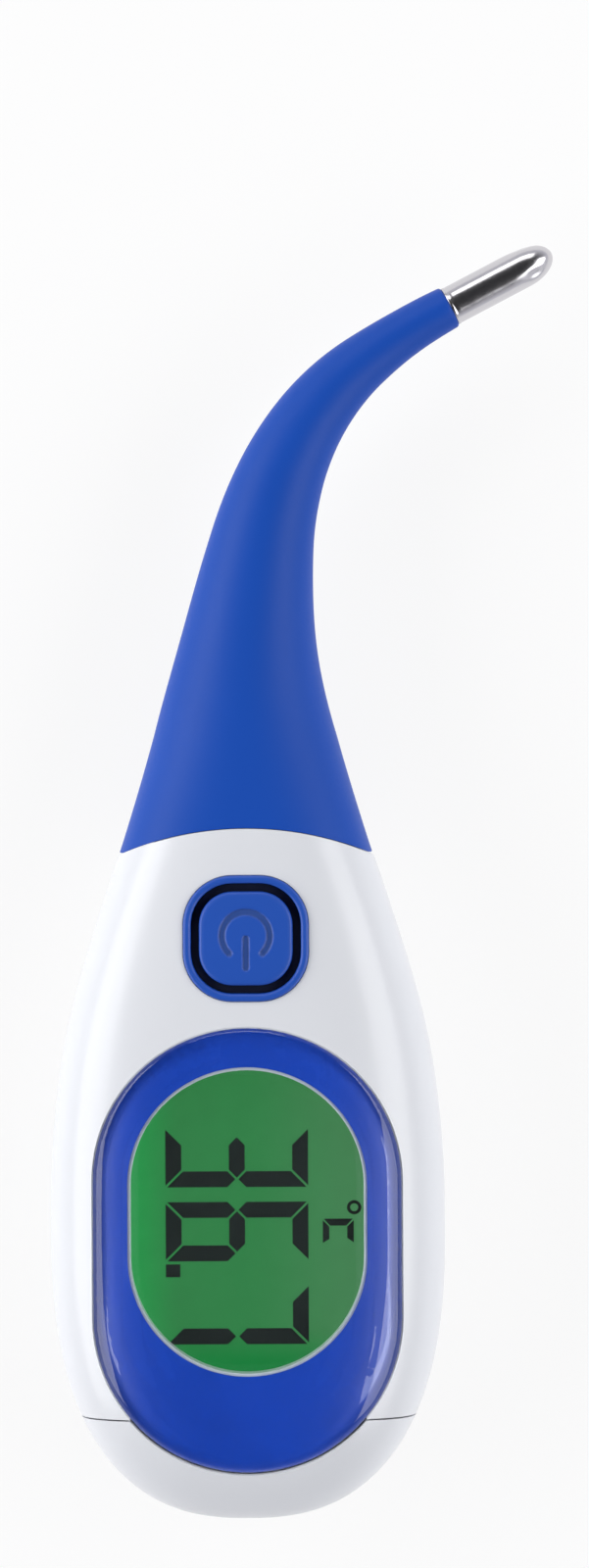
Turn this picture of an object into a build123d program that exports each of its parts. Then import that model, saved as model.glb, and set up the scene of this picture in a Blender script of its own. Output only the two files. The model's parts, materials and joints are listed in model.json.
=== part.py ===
"""Hand-held digital thermometer with a flexible probe stem.

It lies on its back. +Z points up out of the display, +Y runs along the housing towards the stem, and the
origin is the middle of the flat on its back. The stem is modelled straight, cut into links at its hinges,
and then bent sideways to its rest pose.
"""
from build123d import *

import math
import os

# ---------------------------------------------------------------- housing form
AXIS_Z = 10.2             # height of the long axis, and of the shells' parting plane
TAIL_LENGTH = 29.85       # from the widest section to the tail's end
WIDEST = 20.1             # half width there
DEEPEST = 10.5            # half depth there; the flat on the back cuts a little off it
TAIL_PLAN_POWER = 2.5     # roundness of the tail seen from above
TAIL_SIDE_POWER = 3.5     # roundness of the tail seen from the side
FRONT_POWER = 3.0         # squareness of the housing's front half section
BACK_POWER = 2.6
STEM_POWER = 2.0          # the stem's sections are ellipses
POWER_FADE = (28.0, 56.0)  # the sections turn from the housing's to the stem's between these
WALL = 1.8
# (station, half width, half depth) forward of the widest section
STATIONS = (
    (0.0, WIDEST, DEEPEST),
    (10.0, 19.75, 10.48),
    (20.0, 18.35, 10.30),
    (30.0, 15.60, 9.65),
    (40.0, 12.30, 8.60),
    (50.0, 9.35, 7.30),
    (59.0, 7.10, 6.10),
    (68.0, 5.60, 5.05),
    (77.0, 4.48, 4.15),
    (86.5, 3.45, 3.30),
    (95.5, 2.55, 2.50),
    (102.1, 2.20, 2.20),
)
NECK_ARC_RISE = 2.5       # the front edge of the housing is an arc seen from above
NECK_ARC_HALF_WIDTH = 12.5
NECK_TOP_Y = 40.5
SEAM_Y = -19.2            # the end cap parts from the housing here
SEAM_GAP = 0.15
LIP_HEIGHT = 1.2          # the rear shell's lip inside the front shell
LIP_INSET = 1.0
SNAP_INSET = 1.9          # the end cap's two snap arms stand inside the side walls
SNAP_WIDTH = 1.4
SNAP_HEIGHT = 1.4
SNAP_DROP = 3.0
FIT = 0.15                # general moulding clearance
TIGHT = 0.05              # clearance between pieces that are glued or pressed

# ---------------------------------------------------------------- display
LENS_RADIUS = 15.6
LENS_CENTRES = (4.8, -8.95)
LENS_PROUD = 0.25
LENS_THICK = 1.5
MASK_THICK = 0.15
MASK_MARGIN = 0.55        # the printed mask stops this far inside the lens's edge
GASKET_THICK = 0.2
LEDGE_THICK = 1.1
WINDOW_RADIUS = 12.0
WINDOW_CENTRES = (4.45, -2.75)
RIM_WALL = 0.8            # the display frame's slot-shaped rim
LCD_TOP = 16.3
LCD_HALF_X = 13.0
LCD_Y = (-15.8, 17.5)
POLARISER_THICK = 0.2
GLASS_THICK = 0.7
GUIDE_THICK = 1.7
GUIDE_HALF_X = 11.2
REFLECTOR_THICK = 0.2
FRAME_WALL = 0.8
BOARD_TOP = 12.4
BOARD_THICK = 1.0
ZEBRA_WIDTH = 1.3
DIGIT_HEIGHT = 14.4       # along X: the readout is read with the display turned a quarter
DIGIT_WIDTH = 6.0
DIGIT_BAR = 1.6
DIGIT_GAP = 0.16          # each bar's end stops this far short of the mitre
DIGIT_THICK = 0.08
DIGIT_BASE_X = -8.25
DIGIT_LEFT_Y = (10.2, 2.7, -5.7)
POINT_SIZE = (1.45, 1.3)
UNIT_X = 10.75            # the degree mark's middle
UNIT_Y = 2.1

# ---------------------------------------------------------------- button
BUTTON_Y = 29.45
BUTTON_RING = 12.7
BUTTON_RING_CORNER = 5.0
BUTTON_RING_WALL = 0.8
BUTTON_CAP = 9.45
BUTTON_CAP_CORNER = 3.4
BUTTON_PROUD = 0.3
BUTTON_CAP_THICK = 1.1
BUTTON_TRAVEL = 0.5
BUTTON_NECK_INSET = 0.5
MEMBRANE_THICK = 0.4
SWITCH_SIZE = 4.6
SWITCH_HEIGHT = 2.0
SWITCH_PIN_RADIUS = 1.1
SWITCH_PIN_STAND = 0.8
SYMBOL_RADIUS = 2.42
SYMBOL_LINE = 0.65
SYMBOL_DEPTH = 0.15

# ---------------------------------------------------------------- power and sound
CELL_RADIUS = 10.0
CELL_THICK = 3.2
CELL_Y = -11.0
CELL_BASE = 4.2
CELL_STEP = 1.2           # the negative face is smaller than the can by this much
TRAY_WALL = 1.2
TRAY_FLOOR = 0.8
BUZZER_RADIUS = 7.5
BUZZER_Y = 21.0
CERAMIC_RADIUS = 5.2
BUZZER_SEAT = 2.6         # height of the buzzer plate's underside

# ---------------------------------------------------------------- stem and probe
STEM_END = 102.1
HINGE_Y = (59.8, 73.2, 79.4, 84.5, 89.2, 96.4)   # closest where the stem bends the most
HINGE_BEND_DEG = 10.4     # every hinge's share of the sideways bend at rest
HINGE_GAP = 0.15          # half the slit left at each hinge
STEM_BORE = 0.95
INSERT_INSET = 3.2
INSERT_Y = (36.4, 46.5)
INSERT_BORE = 2.4
PROBE_RADIUS = 2.0
PROBE_LENGTH = 11.8
PROBE_NOSE = 3.4
PROBE_WALL = 0.3
PROBE_PLUG_RADIUS = 1.55
PROBE_PLUG_LENGTH = 3.0
LEAD_RADIUS = 0.24
LEAD_SPACING = 0.6
LEADS_START = 34.0        # the leads are soldered under the board's end here
THERMISTOR_RADIUS = 0.6

# ---------------------------------------------------------------- board parts
SCREW_PLACES = ((-10.6, 21.6), (10.6, 21.6), (0.0, -19.6))
SCREW_RADIUS = 0.8
SCREW_HEAD_RADIUS = 1.5
SCREW_HEAD_THICK = 0.9
SCREW_REACH = 3.0         # how far a screw goes into its boss
BOSS_RADIUS = 1.9
BOARD_BOTTOM = BOARD_TOP - BOARD_THICK
HINGES = len(HINGE_Y)
LENS_UNDER = LENS_THICK - LENS_PROUD
MASK_UNDER = LENS_UNDER + MASK_THICK
GASKET_UNDER = MASK_UNDER + GASKET_THICK
LEDGE_UNDER = GASKET_UNDER + LEDGE_THICK
BIG = 200.0
SECTION_POINTS = 28
FORM_END = 43.0
FORM_SPANS = 9
STEM_SPAN = 5.0
FORMS = {}
EPS = 1e-6


def blend(a, b, t):
    """Smooth step from a to b."""
    t = min(1.0, max(0.0, t))
    return a + (b - a) * t * t * (3 - 2 * t)


def station_value(y, column):
    """Cubic Hermite interpolation down a column of STATIONS."""
    rows = STATIONS
    i = max(k for k in range(len(rows) - 1) if rows[k][0] <= max(y, rows[0][0]))

    def slope(k):
        if k == 0:
            return 0.0
        if k == len(rows) - 1:
            k -= 1
            return (rows[k + 1][column] - rows[k][column]) / (rows[k + 1][0] - rows[k][0])
        return (rows[k + 1][column] - rows[k - 1][column]) / (rows[k + 1][0] - rows[k - 1][0])

    span = rows[i + 1][0] - rows[i][0]
    t = (y - rows[i][0]) / span
    p, q = rows[i][column], rows[i + 1][column]
    m, n = slope(i) * span, slope(i + 1) * span
    return (
        (2 * t**3 - 3 * t**2 + 1) * p
        + (t**3 - 2 * t**2 + t) * m
        + (3 * t**2 - 2 * t**3) * q
        + (t**3 - t**2) * n
    )


def half_width(y):
    if y < 0:
        return WIDEST * (1 - (-y / TAIL_LENGTH) ** TAIL_PLAN_POWER) ** (1 / TAIL_PLAN_POWER)
    return station_value(y, 1)


def half_depth(y):
    if y < 0:
        return DEEPEST * (1 - (-y / TAIL_LENGTH) ** TAIL_SIDE_POWER) ** (1 / TAIL_SIDE_POWER)
    return station_value(y, 2)


def section_wire(y, inset):
    """The closed section of the form at y, drawn inset all round."""
    fade = (y - POWER_FADE[0]) / (POWER_FADE[1] - POWER_FADE[0])
    front = blend(FRONT_POWER, STEM_POWER, fade)
    back = blend(BACK_POWER, STEM_POWER, fade)
    wide, deep = half_width(y) - inset, half_depth(y) - inset
    points = []
    for k in range(SECTION_POINTS):
        angle = 2 * math.pi * k / SECTION_POINTS
        c, s = math.cos(angle), math.sin(angle)
        power = 2 / (front if s >= 0 else back)
        x = math.copysign(abs(c) ** power, c) * wide
        z = math.copysign(abs(s) ** power, s) * deep
        points.append((x, y, AXIS_Z + z))
    return Wire([Edge.make_spline([Vector(*p) for p in points], periodic=True)])


def tail_stations(inset):
    """Sections bunch up towards the tail's round end."""
    end = TAIL_LENGTH - inset - 0.12
    return [-end * math.sin(math.radians(a)) for a in (90, 80, 70, 60, 50, 40, 30, 20, 10)]


def form(inset):
    """The housing's form, inset by that much all round, from the tail to just past the neck."""
    if inset not in FORMS:
        shrink = TAIL_LENGTH / (TAIL_LENGTH - inset)
        wires = [tail_wire(y, inset, shrink) for y in tail_stations(inset)]
        wires += [section_wire(FORM_END * k / FORM_SPANS, inset) for k in range(FORM_SPANS + 1)]
        FORMS[inset] = Solid.make_loft(wires)
    return FORMS[inset]


def stem_form(inset, start, stop):
    """The stem's straight form, inset by that much, between two stations."""
    count = max(2, round((stop - start) / STEM_SPAN))
    return Solid.make_loft([section_wire(start + (stop - start) * k / count, inset) for k in range(count + 1)])


def tail_wire(y, inset, shrink):
    """A tail section of the inset form: the outer one's shape scaled in, so that it closes at its own end."""
    wide = half_width(y * shrink)
    deep = half_depth(y * shrink)
    sx = (WIDEST - inset) / WIDEST
    sz = (DEEPEST - inset) / DEEPEST
    points = []
    for k in range(SECTION_POINTS):
        angle = 2 * math.pi * k / SECTION_POINTS
        c, s = math.cos(angle), math.sin(angle)
        power = 2 / (FRONT_POWER if s >= 0 else BACK_POWER)
        x = math.copysign(abs(c) ** power, c) * wide * sx
        z = math.copysign(abs(s) ** power, s) * deep * sz
        points.append((x, y, AXIS_Z + z))
    return Wire([Edge.make_spline([Vector(*p) for p in points], periodic=True)])


def box(x0, x1, y0, y1, z0, z1):
    return Pos((x0 + x1) / 2, (y0 + y1) / 2, (z0 + z1) / 2) * Box(x1 - x0, y1 - y0, z1 - z0)


def rod(radius, x, y, z0, z1):
    return Pos(x, y, (z0 + z1) / 2) * Cylinder(radius, z1 - z0)


def slot_face(radius, centres):
    """A slot along Y with round ends about the two centres, seen from above."""
    high, low = centres
    middle = Pos(0, (high + low) / 2) * Rectangle(2 * radius, high - low)
    return middle + Pos(0, high) * Circle(radius) + Pos(0, low) * Circle(radius)


def prism(face, z0, z1):
    return Pos(0, 0, z0) * extrude(face, z1 - z0)


def slot(radius, centres, z0=0.0, z1=40.0):
    return prism(slot_face(radius, centres), z0, z1)


def rounded_square(size, corner, z0, z1):
    return prism(Pos(0, BUTTON_Y) * RectangleRounded(size, size, corner), z0, z1)


def one(shape):
    """The shape as one solid or compound of solids, without the slivers of a boolean."""
    solids = [s for s in shape.solids() if s.volume > 1e-3]
    return solids[0] if len(solids) == 1 else Compound(children=solids)


NODES = {}


def node(name, shape):
    NODES[name] = one(shape)


# ---------------------------------------------------------------- shared cutting tools
def behind_neck(shift=0.0):
    """Everything behind the arc where the housing ends and the stem begins, shifted along Y."""
    rise, half = NECK_ARC_RISE, NECK_ARC_HALF_WIDTH
    radius = (half**2 + rise**2) / (2 * rise)
    disc = Pos(0, NECK_TOP_Y + shift - radius) * Circle(radius)
    wide = Pos(0, NECK_TOP_Y + shift - rise - BIG / 2) * Rectangle(2 * half, BIG)
    sides = Pos(0, NECK_TOP_Y + shift - 2 * radius - BIG / 2 + radius) * Rectangle(BIG, BIG)
    return prism(disc + wide + sides, -10, 40)


def above(z):
    return box(-BIG, BIG, -BIG, BIG, z, z + BIG)


def below(z):
    return box(-BIG, BIG, -BIG, BIG, z - BIG, z)


def tailward(y):
    return box(-BIG, BIG, y - BIG, y, -BIG, BIG)


def layer(outer, inner):
    """The skin of the form between two insets."""
    return form(outer) - form(inner)


def build_housing():
    cavity = form(WALL) & above(WALL)
    wall = ((form(0.0) & above(0.0)) - cavity) & behind_neck()
    roof = form(WALL - 0.2)

    pocket = slot(LENS_RADIUS + FIT, LENS_CENTRES, z0=AXIS_Z) - form(GASKET_UNDER)
    front = (wall & above(AXIS_Z)) - tailward(SEAM_Y) - pocket
    seat = slot(LENS_RADIUS + 1.0, LENS_CENTRES, z0=AXIS_Z) - tailward(SEAM_Y)
    tongue = slot(LENS_RADIUS - FIT, LENS_CENTRES, z0=AXIS_Z)
    front += layer(GASKET_UNDER, LEDGE_UNDER) & (seat + tongue)
    for x, y in SCREW_PLACES:
        front += rod(BOSS_RADIUS, x, y, BOARD_TOP, 40) & roof
    front -= pocket
    for x, y in SCREW_PLACES:
        front -= rod(SCREW_RADIUS, x, y, 0, BOARD_TOP + SCREW_REACH + 0.3)
    x, (y0, y1) = LCD_HALF_X + 2 * TIGHT, LCD_Y
    front -= box(-x, x, y0 - 2 * TIGHT, y1 + 2 * TIGHT, 0, LCD_TOP + 2 * TIGHT)
    front -= slot(WINDOW_RADIUS + RIM_WALL + FIT, WINDOW_CENTRES)
    front -= rounded_square(BUTTON_RING + 2 * TIGHT, BUTTON_RING_CORNER + TIGHT, AXIS_Z, 40)
    rebate = layer(LIP_INSET - FIT, WALL + 0.5)
    front -= rebate & box(-BIG, BIG, SEAM_Y + 2, BIG, AXIS_Z - 1, AXIS_Z + LIP_HEIGHT + FIT)
    node("front_shell", front)

    rear = (wall & below(AXIS_Z)) - tailward(SEAM_Y)
    lip = layer(LIP_INSET, WALL) & behind_neck(-1.0)
    rear += lip & box(-BIG, BIG, SEAM_Y + 2.3, BIG, AXIS_Z - 0.6, AXIS_Z + LIP_HEIGHT)
    seat = rod(BUZZER_RADIUS + 1.0, 0, BUZZER_Y, 0.5, BUZZER_SEAT + 0.6)
    seat -= rod(BUZZER_RADIUS + TIGHT, 0, BUZZER_Y, BUZZER_SEAT, 20)
    seat -= rod(BUZZER_RADIUS - 1.0, 0, BUZZER_Y, 0, 20)
    rear += seat & roof
    node("rear_shell", rear)


def build_end_cap():
    cap = (form(0.0) & above(0.0)) - (form(WALL) & above(WALL))
    cap &= tailward(SEAM_Y - SEAM_GAP)
    cap -= slot(LENS_RADIUS + 2 * FIT, LENS_CENTRES, z0=AXIS_Z)
    for side in (-1, 1):
        x = side * (half_width(SEAM_Y) - WALL - SNAP_INSET)
        half = SNAP_WIDTH / 2
        z0, z1 = AXIS_Z - SNAP_DROP, AXIS_Z - SNAP_DROP + SNAP_HEIGHT
        arm = box(x - half, x + half, SEAM_Y - 7.0, SEAM_Y + 4.5, z0, z1)
        web = box(min(x, x + side * 6), max(x, x + side * 6), SEAM_Y - 7.0, SEAM_Y - 2.0, z0, z1)
        cap += (arm + web) & form(WALL - 0.3)
    node("end_cap", cap)

    seal = layer(WALL + 0.02, WALL + 0.9)
    seal &= box(-BIG, BIG, SEAM_Y - 1.2, SEAM_Y + 0.9, 0, AXIS_Z - SNAP_DROP - 0.6)
    node("end_cap_seal", seal)


def build_display():
    lens = layer(-LENS_PROUD, LENS_UNDER)
    lens &= slot(LENS_RADIUS, LENS_CENTRES, z0=AXIS_Z)
    node("lens", lens)
    mask = layer(LENS_UNDER, MASK_UNDER)
    mask &= slot(LENS_RADIUS - MASK_MARGIN, LENS_CENTRES, z0=AXIS_Z)
    mask -= slot(WINDOW_RADIUS, WINDOW_CENTRES)
    node("lens_mask", mask)
    gasket = layer(MASK_UNDER, GASKET_UNDER)
    gasket &= slot(LENS_RADIUS - 2 * FIT, LENS_CENTRES, z0=AXIS_Z)
    gasket -= slot(WINDOW_RADIUS + RIM_WALL + 2 * FIT, WINDOW_CENTRES)
    node("lens_gasket", gasket)

    glass_bottom = LCD_TOP - POLARISER_THICK - 2 * GLASS_THICK
    guide_top = glass_bottom - POLARISER_THICK
    guide_bottom = guide_top - GUIDE_THICK
    y0, y1 = LCD_Y
    x = LCD_HALF_X
    node("front_polariser", box(-x + 0.3, x - 0.3, y0 + 0.3, y1 - 0.3, LCD_TOP - POLARISER_THICK, LCD_TOP))
    top = LCD_TOP - POLARISER_THICK
    node("lcd_front_glass", box(-x, x, y0, y1, top - GLASS_THICK, top))
    node("lcd_rear_glass", box(-x, x, y0, y1, glass_bottom, top - GLASS_THICK))
    g = GUIDE_HALF_X
    node("rear_polariser", box(-g, g, y0 + 0.3, y1 - 0.3, guide_top, glass_bottom))
    guide = box(-g, g, y0 + 0.3, y1 - 0.3, guide_bottom, guide_top)
    led_pocket = (2.4, 1.1, 1.2)
    led_places = (-9.0, 0.8, 10.6)
    leds = []
    for y in led_places:
        w, d, h = led_pocket
        guide -= box(-g - 1, -g + d + FIT, y - w / 2 - FIT, y + w / 2 + FIT, 0, guide_bottom + h + FIT)
        leds.append(box(-g + 0.05, -g + d, y - w / 2, y + w / 2, BOARD_TOP, guide_bottom + h))
    node("light_guide", guide)
    node("backlight_leds", Compound(children=leds))
    reflector = box(-g + 1.6, g, y0 + 0.3, y1 - 0.3, guide_bottom - REFLECTOR_THICK, guide_bottom)
    node("reflector", reflector)
    zebras = []
    for side in (-1, 1):
        c = side * (g + 0.15 + ZEBRA_WIDTH / 2)
        half = ZEBRA_WIDTH / 2
        zebras.append(box(c - half, c + half, y0 + 1.5, y1 - 1.5, BOARD_TOP, glass_bottom))
    node("zebra_strips", Compound(children=zebras))

    wall = FRAME_WALL
    tray = box(-x - wall - TIGHT, x + wall + TIGHT, y0 - wall - TIGHT, y1 + wall + TIGHT, BOARD_TOP, LCD_TOP + 0.9)
    tray -= box(-x - TIGHT, x + TIGHT, y0 - TIGHT, y1 + TIGHT, 0, LCD_TOP + TIGHT)
    tray -= slot(WINDOW_RADIUS - 0.3, WINDOW_CENTRES)
    tray &= form(LEDGE_UNDER + 0.1)
    rim = slot(WINDOW_RADIUS + RIM_WALL, WINDOW_CENTRES, z0=LCD_TOP + TIGHT)
    rim -= slot(WINDOW_RADIUS - 0.3, WINDOW_CENTRES)
    rim &= form(MASK_UNDER + TIGHT)
    node("lcd_frame", tray + rim)
    build_digits()


# Which bars of each digit are lit: a is its top bar, b to f run clockwise round it, g is its middle bar
LIT = {"3": "abcdg", "6": "acdefg", "7": "abc"}


def bar_outlines():
    """The seven bars of a digit with mitred ends, u to the digit's right and v up from its foot."""
    w, h, t, g = DIGIT_WIDTH, DIGIT_HEIGHT, DIGIT_BAR, DIGIT_GAP
    mid, half = h / 2, t / 2
    top = [(g, h), (t + g, h - t), (w - t - g, h - t), (w - g, h)]
    side = [(w, h - g), (w - t, h - t - g), (w - t, mid + half + g), (w - half, mid + g), (w, mid + half + g)]
    upper = [(half + g, mid), (t + g, mid + half), (w - t - g, mid + half), (w - half - g, mid)]
    return {
        "a": top,
        "b": side,
        "c": [(u, h - v) for u, v in side],
        "d": [(u, h - v) for u, v in top],
        "e": [(w - u, h - v) for u, v in side],
        "f": [(w - u, v) for u, v in side],
        "g": upper + [(u, h - v) for u, v in upper[2:0:-1]],
    }


def outline_face(points):
    return make_face(Polyline(*points, close=True))


def build_digits():
    """The lit digits lie on their sides: their tops face +X and they read towards -Y."""
    outlines = bar_outlines()
    faces = []
    for text, left in zip("367", DIGIT_LEFT_Y):
        for name in LIT[text]:
            faces.append(outline_face([(DIGIT_BASE_X + v, left - u) for u, v in outlines[name]]))
    tall, wide = POINT_SIZE
    point_y = DIGIT_LEFT_Y[1] - DIGIT_WIDTH - wide
    faces.append(Pos(DIGIT_BASE_X + tall / 2, point_y) * Rectangle(tall, wide))
    x, y = UNIT_X, UNIT_Y
    faces.append(Pos(x, y) * (Circle(0.72) - Circle(0.4)))
    faces.append(outline_face([(x - 3.05, y - 1.15), (x - 0.15, y - 1.15), (x - 0.8, y - 1.85), (x - 2.4, y - 1.85)]))
    faces.append(outline_face([(x - 0.05, y - 1.3), (x - 0.05, y - 3.55), (x - 0.7, y - 3.1), (x - 0.7, y - 1.95)]))
    faces.append(outline_face([(x - 3.15, y - 1.3), (x - 2.5, y - 1.95), (x - 2.5, y - 3.2), (x - 3.15, y - 3.6)]))
    lift = LCD_TOP + 0.002
    node("lcd_digits", Compound(children=[one(prism(f, lift, lift + DIGIT_THICK)) for f in faces]))


def build_button():
    size, corner = BUTTON_RING, BUTTON_RING_CORNER
    hole = size - 2 * BUTTON_RING_WALL
    hole_corner = corner - BUTTON_RING_WALL
    proud = form(-BUTTON_PROUD)
    ring = rounded_square(size, corner, AXIS_Z, 40) - rounded_square(hole, hole_corner, 0, 40)
    floor_top = BUTTON_CAP_THICK - BUTTON_PROUD + BUTTON_TRAVEL + FIT
    floor_bottom = floor_top + MEMBRANE_THICK
    ring &= proud - form(floor_bottom + 0.5)
    node("button_ring", ring)

    neck = BUTTON_CAP - 2 * BUTTON_NECK_INSET
    neck_corner = BUTTON_CAP_CORNER - BUTTON_NECK_INSET
    web = rounded_square(hole - 2 * TIGHT, hole_corner - TIGHT, AXIS_Z, 40)
    web -= rounded_square(neck + 2 * FIT, neck_corner + FIT, 0, 40)
    web &= form(floor_top) - form(floor_bottom)
    node("button_membrane", web)

    cap = rounded_square(BUTTON_CAP, BUTTON_CAP_CORNER, AXIS_Z, 40)
    cap &= proud - form(BUTTON_CAP_THICK - BUTTON_PROUD)
    shank = rounded_square(neck, neck_corner, AXIS_Z, 40)
    shank &= form(BUTTON_CAP_THICK - BUTTON_PROUD - 0.1) - form(floor_bottom + 0.8)
    flange = rounded_square(hole + 0.2, hole_corner, AXIS_Z, 40)
    flange &= form(floor_bottom + 0.5 + TIGHT) - form(floor_bottom + 1.2)
    pin_top = BOARD_TOP + SWITCH_HEIGHT + SWITCH_PIN_STAND
    plunger = rod(1.6, 0, BUTTON_Y, pin_top, 40) & form(floor_bottom + 0.7)
    cap = cap + shank + flange + plunger
    cap -= power_symbol() - form(SYMBOL_DEPTH - BUTTON_PROUD)
    node("button_cap", cap)

    half = SWITCH_SIZE / 2
    case = box(-half, half, BUTTON_Y - half, BUTTON_Y + half, BOARD_TOP, BOARD_TOP + SWITCH_HEIGHT)
    case -= rod(SWITCH_PIN_RADIUS + TIGHT, 0, BUTTON_Y, BOARD_TOP + 0.4, 40)
    node("switch_case", case)
    bottom = BOARD_TOP + 0.4 + BUTTON_TRAVEL + FIT
    node("switch_plunger", rod(SWITCH_PIN_RADIUS, 0, BUTTON_Y, bottom, pin_top))


def power_symbol():
    """The stand-by mark, open towards the display, as a tall prism."""
    outer, inner = SYMBOL_RADIUS + SYMBOL_LINE / 2, SYMBOL_RADIUS - SYMBOL_LINE / 2
    wedge = make_face(Polyline((0, 0), (-6, -6), (6, -6), close=True))
    ring = Circle(outer) - Circle(inner) - wedge
    line = Pos(0, -1.75) * Rectangle(SYMBOL_LINE, 3.4)
    return prism(Pos(0, BUTTON_Y + 0.25) * (ring + line), AXIS_Z, 40)


def build_board():
    outline = box(-14.4, 14.4, -16.9, 19.0, BOARD_BOTTOM, BOARD_TOP)
    outline += box(-12.4, 12.4, 19.0, 24.0, BOARD_BOTTOM, BOARD_TOP)
    outline += box(-8.6, 8.6, 24.0, 36.0, BOARD_BOTTOM, BOARD_TOP)
    outline += box(-3.2, 3.2, -21.6, -16.9, BOARD_BOTTOM, BOARD_TOP)
    outline &= form(WALL + 0.25)
    outline -= box(-BIG, BIG, SEAM_Y - 6, SEAM_Y - 2.4, 0, 40)
    for x, y in SCREW_PLACES:
        outline -= rod(SCREW_RADIUS + 0.1, x, y, 0, 40)
    node("circuit_board", outline)
    screws = []
    for x, y in SCREW_PLACES:
        shaft = rod(SCREW_RADIUS - TIGHT, x, y, BOARD_BOTTOM - EPS, BOARD_TOP + SCREW_REACH)
        head = rod(SCREW_HEAD_RADIUS, x, y, BOARD_BOTTOM - SCREW_HEAD_THICK, BOARD_BOTTOM)
        slots = box(x - 1.1, x + 1.1, y - 0.15, y + 0.15, 0, BOARD_BOTTOM - 0.5)
        slots += box(x - 0.15, x + 0.15, y - 1.1, y + 1.1, 0, BOARD_BOTTOM - 0.5)
        screws.append(one(shaft + head - slots))
    node("board_screws", Compound(children=screws))
    chip = Pos(4.0, 8.0, BOARD_BOTTOM - 0.55) * Box(7.0, 7.0, 1.1)
    chip = chamfer(chip.edges().group_by(Axis.Z)[0], 0.4)
    node("controller_chip", chip)
    node("crystal", Pos(-5.0, 12.0, BOARD_BOTTOM - 0.6) * Box(3.2, 1.5, 1.2))
    passives = []
    for k in range(4):
        passives.append(box(-8.0 + 2.4 * k, -6.4 + 2.4 * k, 16.6, 17.4, BOARD_BOTTOM - 0.5, BOARD_BOTTOM))
        passives.append(box(-11.0, -10.2, 3.0 + 2.6 * k, 4.6 + 2.6 * k, BOARD_BOTTOM - 0.5, BOARD_BOTTOM))
    node("resistors_and_capacitors", Compound(children=[one(p) for p in passives]))


def build_power():
    base, top = CELL_BASE, CELL_BASE + CELL_THICK
    can = rod(CELL_RADIUS, 0, CELL_Y, base + 0.5, top)
    can += rod(CELL_RADIUS - CELL_STEP, 0, CELL_Y, base, base + 0.5)
    rim = can.edges().group_by(Axis.Z)[-1]
    node("coin_cell", fillet(rim, 0.3))
    r = CELL_RADIUS + FIT
    outer = r + TRAY_WALL
    y1 = CELL_Y + outer
    floor = base - TRAY_FLOOR
    tray = box(-outer, outer, SEAM_Y + 1.0, y1, floor - 1.0, top + 0.6)
    tray -= box(-r, r, SEAM_Y - 5, CELL_Y, base - 0.1, 40)
    tray -= rod(r, 0, CELL_Y, base - 0.1, 40)
    tray -= box(-3.0, 3.0, SEAM_Y - 5, CELL_Y + 4.0, 0, 40)
    tray -= box(-2.0, 2.0, CELL_Y + 4, y1 + 1, top - 1.8, 40)
    tray &= form(WALL + TIGHT)
    node("battery_tray", tray)

    strip = box(-1.6, 1.6, y1 - TRAY_WALL, y1 - TRAY_WALL + 0.3, top - 1.6, BOARD_BOTTOM)
    finger = box(-1.6, 1.6, CELL_Y + 3.0, y1 - TRAY_WALL + 0.3, top + 0.05, top + 0.35)
    node("positive_contact", strip + finger)
    leaf = box(-1.8, 1.8, CELL_Y - 4.0, CELL_Y + 3.8, base - 0.35, base - 0.05)
    foot = box(-1.8, 1.8, CELL_Y - 4.0, CELL_Y - 3.7, WALL + 0.02, base - 0.1)
    node("negative_contact", leaf + foot)

    seat = BUZZER_SEAT
    node("buzzer_plate", rod(BUZZER_RADIUS, 0, BUZZER_Y, seat, seat + 0.2))
    node("buzzer_ceramic", rod(CERAMIC_RADIUS, 0, BUZZER_Y, seat + 0.2, seat + 0.45))


# ---------------------------------------------------------------- stem
def bent(link):
    """The rest placement of a stem link: each hinge up to it turned by its share of the bend."""
    place = Location()
    for k in range(link):
        pivot = Vector(0, HINGE_Y[k], AXIS_Z)
        turn = Location(pivot) * Location((0, 0, 0), (0, 0, -HINGE_BEND_DEG)) * Location(-pivot)
        place = place * turn
    return place


def hinge_side(k, side):
    """The prism beyond hinge k's slit, towards +Y (side 1) or -Y (side -1), with room to bend both ways."""
    y = HINGE_Y[k]
    reach = 30.0
    lean = reach * math.tan(math.radians(HINGE_BEND_DEG / 2)) + HINGE_GAP
    points = [(-reach, y + side * lean), (0, y + side * HINGE_GAP), (reach, y + side * lean)]
    far = y + side * BIG
    outline = Polyline(*points, (reach, far), (-reach, far), close=True)
    return prism(make_face(outline), -20, 40)


def y_rod(radius, y0, y1, x=0.0, z=0.0):
    return Pos(x, (y0 + y1) / 2, AXIS_Z + z) * Rot(90, 0, 0) * Cylinder(radius, y1 - y0)


def build_stem():
    insert_high = INSERT_Y[1]
    whole = stem_form(0.0, 36.0, STEM_END)
    whole -= behind_neck(TIGHT)
    whole -= stem_form(INSERT_INSET - TIGHT, 30.0, insert_high + TIGHT)
    whole -= y_rod(STEM_BORE, 30, STEM_END + 5)
    whole -= y_rod(PROBE_PLUG_RADIUS + TIGHT, STEM_END - PROBE_PLUG_LENGTH - TIGHT, STEM_END + 5)
    root = whole & hinge_side(0, -1)
    node("stem_root", root)
    for k in range(1, HINGES + 1):
        link = whole & hinge_side(k - 1, 1)
        if k < HINGES:
            link &= hinge_side(k, -1)
        node(f"stem_link_{k}", bent(k) * one(link))

    tongue = stem_form(INSERT_INSET, INSERT_Y[0], insert_high)
    plug = (form(WALL + FIT) - tailward(INSERT_Y[0])) & behind_neck(-0.3)
    insert = tongue + plug
    insert -= y_rod(INSERT_BORE, 30, insert_high + 1)
    node("neck_insert", insert)


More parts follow.
